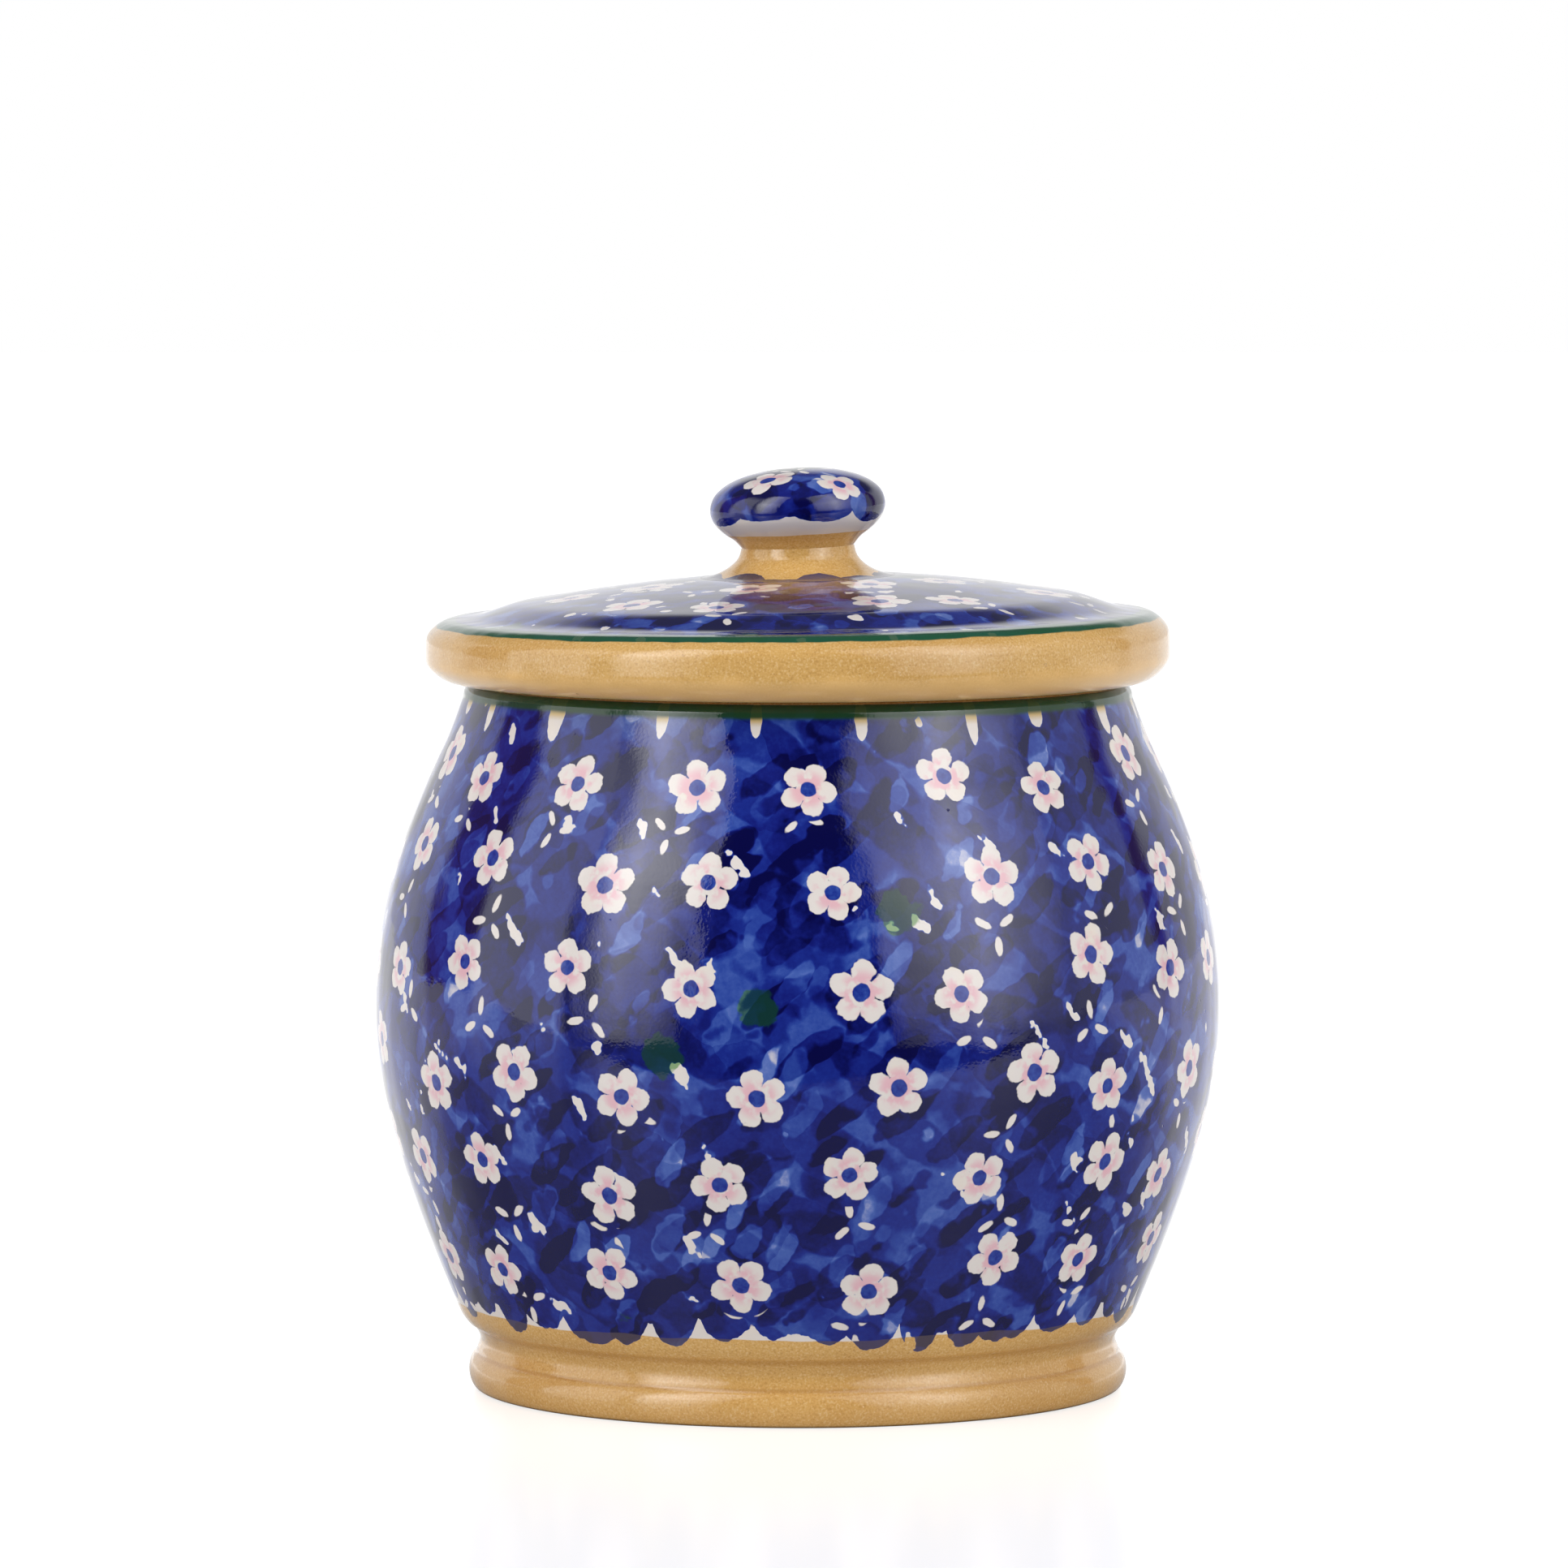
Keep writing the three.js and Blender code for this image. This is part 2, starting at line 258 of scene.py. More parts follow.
GLAZE_IOR = 1.53
CLAY = tint("d3a864")
CLAY_DARK = tint("915c28")
CLAY_PALE = tint("efddb8")
CLAY_PAINTED_LIGHT = tint("f2c47e")  # painted light on the clay low on the lid's rim, for what the floor throws up onto it
SLIP = tint("ddd6d1")
BLUSH = tint("dd9fb0")
SMOKE = tint("52474f")  # cobalt over bare clay
# green of the neck band: the green glaze, painted darker than on the lid's line as shade from the rim above
# it
GREEN_BAND_PAINTED_SHADE = tint("1f4426")
GREEN_LINE = tint("1b5233")
GREEN_DARK = tint("10382c")
GREEN_PALE = tint("5d8f4a")
STAIN = tint("c3a24a")
CONTACT_SHADOW_COLOUR = tint("4a3018")  # painted contact shadow on the edge that the jar stands on
COBALT_STOPS = (
    (0.0, "7f92cc"), (0.12, "4560ac"), (0.22, "2b4499"), (0.38, "182a85"),
    (0.55, "111b72"), (0.75, "09105a"), (1.0, "050640"),
)
COBALT = [(position, tint(code)) for position, code in COBALT_STOPS]


# Sections and meshes


class Outline:
    """Outline of a turned piece as (radius, height) points, from its lower end on the axis to its upper."""

    def __init__(self, node, step):
        self.points = smoothed(section(node), step)
        self.along = [0.0]
        for before, here in zip(self.points, self.points[1:]):
            self.along.append(self.along[-1] + (here - before).length)

    def top(self):
        return max(spot.y for spot in self.points)

    def widest(self):
        return max(range(len(self.points)), key=lambda index: self.points[index].x)

    def below_top(self, depth):
        """Length along the outline where it first comes this near to its top."""
        top = self.top()
        return self.after(self.widest(), lambda spot: spot.y - top + depth)

    def swell_before(self, index):
        """Going back from a point, the first one that is a widest line."""
        while self.points[index - 1].x >= self.points[index].x:
            index -= 1
        return index

    def dip_before(self, index):
        """Going back from a point, the first one that is a narrowest line."""
        while self.points[index - 1].x <= self.points[index].x:
            index -= 1
        return index

    def after(self, start, passed):
        """Length along the outline where passed, a function of a point, first rises to zero after start."""
        for index in range(start + 1, len(self.points)):
            low = passed(self.points[index - 1])
            high = passed(self.points[index])
            if low < 0 <= high:
                share = low / (low - high)
                return self.along[index - 1] + share * (self.along[index] - self.along[index - 1])
        raise ValueError("the outline never gets there")


def section(node):
    """Points of a turned node's section in order, read along the edges that lie in the half plane x = 0."""
    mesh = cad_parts[node].data
    flat = {}
    for vertex in mesh.vertices:
        if abs(vertex.co.x) < TOUCH and vertex.co.y < TOUCH:
            flat[vertex.index] = (round(abs(vertex.co.y) / MM, 3), round(vertex.co.z / MM, 3))
    links = {}
    for edge in mesh.edges:
        start, end = (flat.get(index) for index in edge.vertices)
        if start and end and start != end:
            links.setdefault(start, set()).add(end)
            links.setdefault(end, set()).add(start)
    ends = [spot for spot, near in links.items() if len(near) == 1]
    chain = [min(ends, key=lambda spot: spot[1])]
    while True:
        onward = links[chain[-1]] - set(chain[-2:])
        if not onward:
            return [Vector(spot) for spot in chain]
        chain.append(onward.pop())


def directions(points):
    """Direction of a smooth line at each point, coming in and going out; they differ at a corner."""
    pairs = []
    for index, here in enumerate(points):
        before = (here - points[max(index - 1, 0)]).normalized()
        after = (points[min(index + 1, len(points) - 1)] - here).normalized()
        if index == 0:
            pairs.append((after, after))
        elif index == len(points) - 1:
            pairs.append((before, before))
        elif before.angle(after) > CORNER_TURN:
            pairs.append((before, after))
        else:
            through = (points[index + 1] - points[index - 1]).normalized()
            pairs.append((through, through))
    return pairs


def smoothed(points, step):
    """The points with a smooth curve between them, at about the given step."""
    pairs = directions(points)
    fine = [points[0]]
    for index in range(len(points) - 1):
        start = points[index]
        end = points[index + 1]
        length = (end - start).length
        leave = pairs[index][1] * length
        arrive = pairs[index + 1][0] * length
        count = max(LEAST_RINGS, math.ceil(length / step))
        for k in range(1, count + 1):
            t = k / count
            spot = start * (2 * t**3 - 3 * t**2 + 1) + end * (3 * t**2 - 2 * t**3)
            spot += leave * (t**3 - 2 * t**2 + t) + arrive * (t**3 - t**2)
            fine.append(spot)
    return fine


def turned(name, outline, facets, unevenness, glaze):
    """A piece turned about the Z axis, with the length along its outline kept on the mesh for its glaze."""
    verts = []
    values = []
    rings = []
    for spot, length in zip(outline.points, outline.along):
        ring = []
        for k in range(1 if spot.x < TOUCH else facets):
            angle = 2 * math.pi * k / facets
            place = Vector((spot.x * math.sin(angle), -spot.x * math.cos(angle), spot.y))
            ring.append(len(verts))
            verts.append((place + unevenness(place, length)) * MM)
            values.append(length)
        rings.append(ring)
    faces = []
    spots = []
    shares = [length / outline.along[-1] for length in outline.along]
    for low, high, v_low, v_high in zip(rings, rings[1:], shares, shares[1:]):
        for k in range(facets):
            after = (k + 1) % facets
            left, middle, right = k / facets, (k + 0.5) / facets, (k + 1) / facets
            if len(low) == 1:
                faces.append((low[0], high[after], high[k]))
                spots += [middle, v_low, right, v_high, left, v_high]
            elif len(high) == 1:
                faces.append((low[k], low[after], high[0]))
                spots += [left, v_low, right, v_low, middle, v_high]
            else:
                faces.append((low[k], low[after], high[after], high[k]))
                spots += [left, v_low, right, v_low, right, v_high, left, v_high]
    mesh = bpy.data.meshes.new(name)
    mesh.from_pydata(verts, [], faces)
    mesh.uv_layers.new(name="OFBake").data.foreach_set("uv", spots)
    mesh.materials.append(glaze)
    mesh.shade_smooth()
    mesh.set_sharp_from_angle(angle=CORNER_TURN)
    mesh.attributes.new("along", "FLOAT", "POINT").data.foreach_set("value", values)
    return placed(name, mesh)


def placed(name, data):
    """A new object in the scene."""
    made = bpy.data.objects.new(name, data)
    bpy.context.scene.collection.objects.link(made)
    return made


def ease(value, low, high):
    """0 below low, 1 above high and smooth between them."""
    t = min(max((value - low) / (high - low), 0), 1)
    return t * t * (3 - 2 * t)


# Shader nodes that read as arithmetic


class Field:
    """A number that varies over a surface. Arithmetic on it adds Math nodes to its tree."""

    def __init__(self, graph, socket):
        self.graph = graph
        self.socket = socket

    def __add__(self, other):
        return self.graph.math("ADD", self, other)

    def __sub__(self, other):
        return self.graph.math("SUBTRACT", self, other)

    def __rsub__(self, other):
        return self.graph.math("SUBTRACT", other, self)

    def __mul__(self, other):
        return self.graph.math("MULTIPLY", self, other)

    def __truediv__(self, other):
        return self.graph.math("DIVIDE", self, other)

    __radd__ = __add__

    def act(self, operation, *others):
        return self.graph.math(operation, self, *others)


class Graph:
    """A node tree with short calls for the nodes that the glazes, the floor and the world share."""

    def __init__(self, tree):
        self.tree = tree

    def node(self, kind, **inputs):
        made = self.tree.nodes.new(kind)
        self.plug(made, inputs)
        return made

    def plug(self, node, inputs):
        for name, value in inputs.items():
            self.feed(value, node.inputs[name])

    def feed(self, value, socket):
        if isinstance(value, Field):
            value = value.socket
        if isinstance(value, bpy.types.NodeSocket):
            self.tree.links.new(value, socket)
        else:
            socket.default_value = value

    def math(self, operation, *values):
        made = self.node("ShaderNodeMath")
        made.operation = operation
        for value, socket in zip(values, made.inputs):
            self.feed(value, socket)
        return Field(self, made.outputs[0])

    def vector(self, operation, first, second=None, scale=None):
        made = self.node("ShaderNodeVectorMath")
        made.operation = operation
        self.feed(first, made.inputs[0])
        if second is not None:
            self.feed(second, made.inputs[1])
        if scale is not None:
            self.feed(scale, made.inputs["Scale"])
        return made.outputs[0]

    def split(self, vector):
        made = self.node("ShaderNodeSeparateXYZ", Vector=vector)
        return [Field(self, socket) for socket in made.outputs]

    def parts(self, colour):
        made = self.node("ShaderNodeSeparateColor", Color=colour)
        return [Field(self, socket) for socket in made.outputs]

    def step(self, value, low, high):
        """0 at low and 1 at high, smooth between; low may be the larger."""
        made = self.node("ShaderNodeMapRange")
        made.interpolation_type = "SMOOTHSTEP"
        self.plug(made, {"Value": value, "From Min": low, "From Max": high})
        return Field(self, made.outputs["Result"])

    def edge(self, value, at, half=CRISP):
        """0 before an edge and 1 beyond it; a negative half turns that round."""
        return self.step(value, at - half, at + half)

    def mix(self, share, under, over):
        """The colour under, with a share of the colour over; the node's colour sockets go by number."""
        made = self.node("ShaderNodeMix")
        made.data_type = "RGBA"
        self.feed(share, made.inputs[0])
        self.feed(under, made.inputs[6])
        self.feed(over, made.inputs[7])
        return made.outputs[2]

    def ramp(self, value, stops):
        """Colour between stops, each a position from 0 to 1 and a linear colour."""
        made = self.node("ShaderNodeValToRGB", Fac=value)
        elements = made.color_ramp.elements
        while len(elements) < len(stops):
            elements.new(0.5)
        for element, (position, colour) in zip(elements, stops):
            element.position = position
            element.color = colour
        return made.outputs["Color"]

    def curve(self, value, stops):
        """Number between stops, each a position from 0 to 1 and a number."""
        return Field(self, self.ramp(value, [(position, grey(number)) for position, number in stops]))

    def paths(self):
        """1 for the camera's own rays, and 1 for rays that a glossy or clear surface has turned."""
        made = self.node("ShaderNodeLightPath")
        kinds = ("Camera", "Glossy", "Transmission")
        seen, glossy, clear = (made.outputs[f"Is {kind} Ray"] for kind in kinds)
        return Field(self, seen), self.math("MAXIMUM", glossy, clear)


class Glaze(Graph):
    """A glaze's material, with the place on the surface and the sizes of its textures in millimetres."""

    def __init__(self, name):
        self.material = bpy.data.materials.new(name)
        self.material.use_nodes = True
        super().__init__(self.material.node_tree)
        coordinates = self.node("ShaderNodeTexCoord").outputs["Object"]
        self.place = self.vector("SCALE", coordinates, scale=1 / MM)
        self.x, self.y, self.z = self.split(self.place)
        self.radius = (self.x * self.x + self.y * self.y).act("SQRT")
        self.turn = self.x.act("ARCTAN2", self.y * -1) / (2 * math.pi)
        attribute = self.node("ShaderNodeAttribute")
        attribute.attribute_name = "along"
        self.along = Field(self, attribute.outputs["Fac"])

    def noise(self, size, detail=2.0, seed=0, place=None):
        """Soft noise from 0 to 1 with features of about the given size."""
        shifted = self.vector("ADD", place or self.place, [seed * step for step in NOISE_STEPS])
        made = self.node("ShaderNodeTexNoise", Vector=shifted, Scale=1 / size, Detail=detail)
        return Field(self, made.outputs[0])

    def warped(self, place, size, reach, seed):
        """The place pushed about, so that edges come out ragged."""
        shifted = self.vector("ADD", place, [seed * step for step in WARP_STEPS])
        made = self.node("ShaderNodeTexNoise", Vector=shifted, Scale=1 / size, Detail=1.0)
        centred = self.vector("SUBTRACT", made.outputs["Color"], (0.5, 0.5, 0.5))
        return self.vector("ADD", place, self.vector("SCALE", centred, scale=2 * reach))

    def twisted(self, place, slant):
        """The place turned about the Z axis in step with its height, which slants upright strokes."""
        made = self.node("ShaderNodeVectorRotate", Vector=place, Angle=self.z * slant)
        made.rotation_type = "Z_AXIS"
        return made.outputs[0]

    def cells(self, size, seed, place):
        """Distance in cells to the nearest of scattered points, its random numbers, and where it is."""
        shift = [seed * step for step in CELL_STEPS]
        made = self.node("ShaderNodeTexVoronoi", Vector=self.vector("ADD", place, shift), Scale=1 / size)
        middle = self.vector("SUBTRACT", made.outputs["Position"], shift)
        return Field(self, made.outputs["Distance"]), self.parts(made.outputs["Color"]), middle

    def chances(self, first, second):
        """Three random numbers that depend on two whole ones."""
        pair = self.node("ShaderNodeCombineXYZ", X=first, Y=second)
        made = self.node("ShaderNodeTexWhiteNoise", Vector=pair.outputs[0])
        return self.parts(made.outputs["Color"])

    def within(self, first, last):
        """1 between two lengths along the outline and 0 outside them."""
        return self.step(self.along, first - CUT, first) * self.step(self.along, last + CUT, last)

    def finish(self, colour, roughness, height):
        """Links the glaze's colour, its roughness and its relief in millimetres to the shader."""
        normal = self.node("ShaderNodeBump", Height=height, Distance=MM).outputs[0]
        shader = self.tree.nodes["Principled BSDF"]
        self.plug(shader, {"Base Color": colour, "Roughness": roughness})
        self.plug(shader, {"Normal": normal, "IOR": GLAZE_IOR})
        return self.material


# Clay, slip and colours under the glaze


def clay(glaze):
    """Buff clay: fine sandy speckle, some dark and pale grains, and a slow change of shade."""
    shade_size, swing, mean = CLAY_SHADE
    sand_size, sand_share = SAND
    grain_size, grain_share = GRAINS
    shade = glaze.noise(shade_size, detail=1.0, seed=1)
    sand = glaze.noise(sand_size, seed=2)
    grain, chance, _ = glaze.cells(grain_size, 3, glaze.place)
    dark = glaze.step(grain, *GRAIN_EDGE) * glaze.step(chance[0], *GRAIN_CHANCE)
    colour = glaze.mix((shade - 0.5) * swing + mean, CLAY, CLAY_DARK)
    colour = glaze.mix(glaze.step(sand, *SAND_DARK) * sand_share, colour, CLAY_DARK)
    colour = glaze.mix(glaze.step(sand, *SAND_PALE) * sand_share, colour, CLAY_PALE)
    return glaze.mix(dark * grain_share, colour, CLAY_DARK)


def slip(glaze):
    """Cream slip, a little thinner and warmer in places."""
    size, share = THIN_SLIP
    thin = glaze.noise(size, detail=3.0, seed=4)
    return glaze.mix(glaze.step(thin, *THIN_LEVEL) * share, SLIP, CLAY_PALE)


def hanging(glaze, away, counts, least, most, seed):
    """1 inside round-ended dabs that hang over an edge, and before it; away is the length beyond it."""
    drift_size, drift = FRINGE_DRIFT
    ragged_size, ragged_share = FRINGE_RAGGED
    turn = glaze.turn + (glaze.noise(drift_size, detail=1.0, seed=seed) - 0.5) * (drift / counts[0])
    farthest = None
    for layer, count in enumerate(counts):
        column = turn * count + layer * 0.5
        index = column.act("FLOOR")
        chance = glaze.chances(index.act("FLOORED_MODULO", count) + seed, layer * 3.0)
        aside = (column - index - 0.5) * 2
        round_end = (1 - aside * aside).act("SQRT")
        hang = round_end * (chance[0] * (most - least) + least)
        farthest = hang if farthest is None else farthest.act("MAXIMUM", hang)
    ragged = (glaze.noise(ragged_size, seed=29) - 0.5) * (most * ragged_share)
    return glaze.edge(away - farthest + ragged, 0, -CRISP)


def sponged(glaze, inside, slits=1):
    """Depth of cobalt where inside is 1: a wash, dabs and dark blotches, pale strokes and bare slits."""
    ragged = glaze.place
    for push in DAB_WARPS:
        ragged = glaze.warped(ragged, *push)

    def slanted(slant, stretch):
        return glaze.vector("MULTIPLY", glaze.twisted(ragged, slant), (1, 1, 1 / stretch))

    least, more, thinnest = DAB_SHADE
    rim_width, rim_depth = DAB_RIM
    dabs = []
    for seed, (size, stretch, slant, share, soft, strength) in enumerate(DABS, 6):
        squeezed = slanted(slant, stretch)
        distance, chance, middle = glaze.cells(size, seed, squeezed)
        run = (glaze.split(squeezed)[2] - glaze.split(middle)[2]) / size * (chance[1] * 2.0 - 1.0)
        shade = (chance[0] * more + least + run).act("MAXIMUM", thinnest)
        rim = glaze.step(distance, share - rim_width, share) * rim_depth
        dabs.append(glaze.edge(distance, share, -soft) * (shade + rim) * strength)
    blotch = glaze.step(glaze.noise(BLOTCH_SIZE, seed=10, place=ragged), *BLOTCH_LEVEL)
    added, deepened = BLOTCH_DEPTH
    depth = WASH + dabs[0] + dabs[1] * (blotch * deepened + 1) + blotch * added
    size, stretch, slant, share = STROKES
    distance, chance, _ = glaze.cells(size, 30, slanted(slant, stretch))
    least, more = STROKE_LIFT
    depth = depth * (1 - glaze.edge(distance, share, -STROKE_EDGE) * (chance[0] * more + least))
    size, stretch, slant, share = SLITS
    distance, _, _ = glaze.cells(size, 31, slanted(slant, stretch))
    rough_size, rough = SLIT_RAGGED
    distance = distance + (glaze.noise(rough_size, detail=1.0, seed=32) - 0.5) * rough
    bare = glaze.edge(distance, share, -SLIT_EDGE) * slits
    pores = glaze.noise(PORES[0], detail=3.0, seed=11) * PORES[1]
    watery = glaze.noise(WATERY[0], detail=1.0, seed=12) * WATERY[1]
    return depth * (1 - bare) * inside * (pores + watery + EVEN_SHARE)


def cobalt(glaze, depth, under, slipped):
    """The sponged blue over what is under it; it stays grey where it lies on bare clay."""
    blue = glaze.ramp(depth / DEEPEST, COBALT)
    blue = glaze.mix((1 - slipped) * SMOKE_SHARE, blue, SMOKE)
    return glaze.mix(glaze.step(depth, *COBALT_COVERS), under, blue)


def green_dabs(glaze, colour, depth, reach):
    """A few dabs of green: bright on bare slip, nearly black over the blue."""
    ragged = glaze.place
    for push in GREEN_WARPS:
        ragged = glaze.warped(ragged, *push)
    distance, chance, _ = glaze.cells(GREEN_CELL, 14, ragged)
    dab = glaze.step(distance, *GREEN_EDGE) * glaze.step(chance[0], *GREEN_CHANCE) * reach
    over = glaze.mix(glaze.step(depth, *GREEN_DEPTH), GREEN_PALE, GREEN_DARK)
    return glaze.mix(dab * GREEN_SHARE, colour, over)


# Stamped blossoms and sprigs


class Cells:
    """Cells in rows round a turned surface, columns(row) in each row, seen from a stray middle in each."""

    def __init__(self, glaze, first, pitch, columns, seed=0, scale=1.0):
        row = (glaze.along - first) / pitch
        row_index = row.act("FLOOR")
        count = columns(row_index)
        column = (glaze.turn + row_index * ROW_TURN) * count
        column_index = column.act("FLOOR")
        wrapped = column_index.act("FLOORED_MODULO", count)
        self.chance = glaze.chances(wrapped + seed, row_index)
        across = (column - column_index - 0.5) * glaze.radius * (2 * math.pi) / count
        across = across - (self.chance[0] - 0.5) * (SIDE_STRAY * scale)
        up = (row - row_index - 0.5) * pitch - (self.chance[1] - 0.5) * (RISE_STRAY * scale)
        least, more = BLOSSOM_SIZE
        self.ragged = glaze.noise(RAGGED_SIZE, seed=15) - 0.5
        self.away = (across * across + up * up).act("SQRT") / (self.chance[0] * more + least) / scale
        self.angle = up.act("ARCTAN2", across) + self.chance[2] * (2 * math.pi)

    def folded(self, leaves):
        """Distance out along the nearest of the leaves, and sideways from its middle line."""
        sector = 2 * math.pi / leaves
        turn = ((self.angle / sector).act("FRACT") - 0.5).act("ABSOLUTE") * sector
        return self.away * turn.act("COSINE"), self.away * turn.act("SINE")


def blossoms(glaze, cells):
    """Shares of petal, blush and eye of five-petalled blossoms, one in each cell."""
    out, sideways = cells.folded(PETALS)
    beyond = out - BLOSSOM_REACH
    petal = (beyond * beyond + sideways * sideways).act("SQRT") - PETAL_RADIUS
    heart = cells.away - BLOSSOM_REACH * BLOSSOM_HEART
    joined = petal.act("MINIMUM", heart) + cells.ragged * PETAL_RAGGED
    petals = glaze.edge(joined, 0, -CRISP)
    blotch = glaze.noise(BLUSH_SIZE, seed=16)
    blush = glaze.step(cells.away, *BLUSH_FADE) * glaze.step(blotch, *BLUSH_LEVEL)
    eye = glaze.edge(cells.away + cells.ragged * FINE_RAGGED, EYE_RADIUS, -CRISP)
    return petals, blush, eye


def sprigs(glaze, cells):
    """Share of three-leaved sprigs, in most of the cells."""
    out, sideways = cells.folded(SPRIG_LEAVES)
    long = (out - SPRIG_REACH) / SPRIG_HALF_LENGTH
    wide = sideways / SPRIG_HALF_WIDTH
    leaf = (long * long + wide * wide).act("SQRT") + cells.ragged * FINE_RAGGED
    return glaze.step(leaf, *SPRIG_EDGE) * glaze.step(cells.chance[1], *SPRIG_CHANCE)


def stamped(glaze, colour, reach, sprig_reach, first, pitch, columns, seed=0, scale=1.0):
    """Strewn blossoms where reach is 1 and, clear of them, sprigs where sprig_reach is 1."""
    flowers = Cells(glaze, first, pitch, columns, seed, scale)
    between = Cells(glaze, first - pitch / 2, pitch, columns, seed + SPRIG_SEED, scale)
    petals, blush, eye = blossoms(glaze, flowers)
    petals = petals * reach
    clear = glaze.step(flowers.away, *CLEAR_OF_BLOSSOM).act("MAXIMUM", 1 - reach)
    bare = petals.act("MAXIMUM", sprigs(glaze, between) * clear * sprig_reach)
    flower = glaze.mix(blush * petals * BLUSH_SHARE, slip(glaze), BLUSH)
    colour = glaze.mix(bare, colour, flower)
    size, swing, least = EYE_SHADE
    dark = glaze.ramp(glaze.noise(size, seed=17) * swing + least, COBALT)
    return glaze.mix(eye * petals, colour, dark)


def neck_gaps(glaze, band_edge):
    """Share of bare slip in round-ended gaps that hang down from the jar's green band."""
    column = glaze.turn * NECK_GAPS
    index = column.act("FLOOR")
    chance = glaze.chances(index.act("FLOORED_MODULO", NECK_GAPS), GAP_SEED)
    stray = (chance[0] - 0.5) * GAP_STRAY
    aside = (column - index - 0.5 - stray) * glaze.radius * (2 * math.pi / NECK_GAPS)
    across = aside / (chance[2] * GAP_HALF[1] + GAP_HALF[0])
    down = (band_edge - glaze.along) / (chance[1] * GAP_LENGTH[1] + GAP_LENGTH[0])
    rough_size, rough = GAP_RAGGED
    ragged = (glaze.noise(rough_size, seed=28) - 0.5) * rough
    return glaze.step(down * down + across * across + ragged, *GAP_EDGE)


def relief(glaze, sandy, strength=1.0):
    """Relief of the glaze in millimetres: upright waves, throwing rings, orange peel, sand and pinholes."""
    flows = []
    for seed, (size, depth, squeeze) in ((18, WAVES), (27, RINGS)):
        squeezed = glaze.vector("MULTIPLY", glaze.place, squeeze)
        flows.append(glaze.noise(size, detail=1.0, seed=seed, place=squeezed) * depth)
    peel = glaze.noise(PEEL[0], detail=1.0, seed=19) * PEEL[1]
    sand = glaze.noise(SANDY[0], seed=20) * sandy * SANDY[1]
    hole, chance, _ = glaze.cells(PINHOLES[0], 21, glaze.place)
    pinholes = glaze.step(hole, *PINHOLE_EDGE) * glaze.step(chance[0], *PINHOLE_CHANCE)
    return (flows[0] + flows[1] + peel + sand) * strength - pinholes * PINHOLES[1]


def gloss(glaze, sandy):
    """Roughness: wet over the slip, a little broken where the glaze is thin over bare clay."""
    size, least, more = GLOSS
    return glaze.noise(size, seed=22) * more + least + sandy * SANDY_GLOSS


# The three glazes


def foot_clay(glaze, groove_height):
    """Clay with painted shade, darker on the foot and in the lines cut beside its groove, and a painted
    contact shadow at the edge that the jar stands on.
    """
    # Painted shade: the clay darkens below the groove over the foot
    start, full, share = FOOT_SHADE
    on_foot = glaze.step(glaze.z, groove_height + start, groove_height + full)
    colour = glaze.mix(on_foot * share, clay(glaze), CLAY_DARK)
    # Painted shade in the lines cut beside the groove
    core, share = LINE_SHADE
    for line, _, below, above in FOOT_LINES:
        away = (glaze.z - groove_height - line).act("ABSOLUTE")
        colour = glaze.mix(glaze.step(away, (below + above) / 2, core) * share, colour, CLAY_DARK)
    # Painted contact shadow at the edge that the jar stands on
    start, full, share = CONTACT_SHADOW_FADE
    return glaze.mix(glaze.step(glaze.z, start, full) * share, colour, CONTACT_SHADOW_COLOUR)


def jar_glaze(outline):
    """Sponged and stamped outside, green at the neck, bare clay at the foot and the lip, slip inside."""
    glaze = Glaze("jar_glaze")
    groove = outline.dip_before(outline.widest())
    groove_height = outline.points[groove].y
    slip_height = groove_height + SLIP_ABOVE_GROOVE
    slip_edge = outline.after(groove, lambda spot: spot.y - slip_height)
    band_edge = outline.below_top(NECK_BAND_WIDTH)
    lip = outline.below_top(LIP_DEPTH)
    uneven = glaze.noise(JAR_UNEVEN, seed=23) - 0.5
    outside = glaze.edge(glaze.along, lip - LIP_CLAY, -LIP_EDGE)
    inside = glaze.step(glaze.along, lip + SLIP_INSIDE[0], lip + SLIP_INSIDE[1])
    slipped = glaze.edge(glaze.along + uneven * SLIP_WANDER, slip_edge)
    reach = hanging(glaze, slip_edge + FRINGE_ABOVE_SLIP - glaze.along, *JAR_FRINGE) * outside
    colour = glaze.mix(slipped, foot_clay(glaze, groove_height), slip(glaze))
    depth = sponged(glaze, reach * (1 - neck_gaps(glaze, band_edge)))
    colour = cobalt(glaze, depth, colour, slipped)
    colour = green_dabs(glaze, colour, depth, reach)
    first_row = slip_edge + ROW_ABOVE_SLIP
    last_row = band_edge - ROW_BELOW_BAND
    row_pitch = (last_row - first_row) / JAR_ROWS
    in_rows = glaze.within(first_row, last_row)
    sprig_top = last_row - row_pitch / 2
    below_top_row = slipped * glaze.step(glaze.along, sprig_top, sprig_top - CUT)

    def columns(row):
        swell = ((row + 0.5) * (math.pi / JAR_ROWS)).act("SINE")
        return (swell * JAR_COLUMNS[1] + JAR_COLUMNS[0]).act("ROUND")

    colour = stamped(glaze, colour, in_rows, below_top_row, first_row, row_pitch, columns)
    stain = glaze.step(glaze.along, *(band_edge - length for length in STAIN_BELOW_BAND)) * outside
    colour = glaze.mix(stain * glaze.step(depth, STAIN_DEPTH, 0.0) * STAIN_SHARE, colour, STAIN)
    band = glaze.edge(glaze.along + uneven * BAND_WANDER, band_edge, BAND_EDGE) * outside
    # The neck band's green carries painted shade from the rim above it
    colour = glaze.mix(band * BAND_SHARE, colour, GREEN_BAND_PAINTED_SHADE)
    colour = glaze.mix(1 - outside, colour, clay(glaze))
    colour = glaze.mix(inside, colour, slip(glaze))
    sandy = (1 - slipped).act("MAXIMUM", (1 - outside) * (1 - inside))
    return glaze.finish(colour, gloss(glaze, sandy), relief(glaze, sandy))


